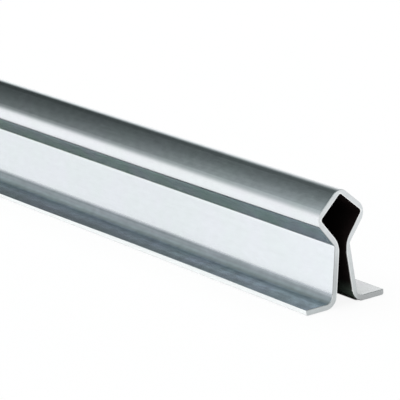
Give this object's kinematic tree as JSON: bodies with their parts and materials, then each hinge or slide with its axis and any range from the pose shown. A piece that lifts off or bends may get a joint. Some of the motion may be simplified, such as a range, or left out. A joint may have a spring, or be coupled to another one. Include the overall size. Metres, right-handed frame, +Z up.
{
  "type": "v-groove gate track",
  "caption": "Length of roll-formed galvanised steel track with a V-shaped ridge that guides the grooved wheels of a sliding gate, bedded on splayed feet.",
  "frame": {"origin": "on the floor under the middle of the track", "axes": "+X across the track, +Y along it, +Z up through the ridge"},
  "size_m": [0.0484, 3, 0.06],
  "materials": {
    "galvanised_steel": "bright zinc-coated steel with faint spangle and roll lines"
  },
  "bodies": {
    "root": {"v_track": "galvanised_steel"}
  },
  "joints": []
}
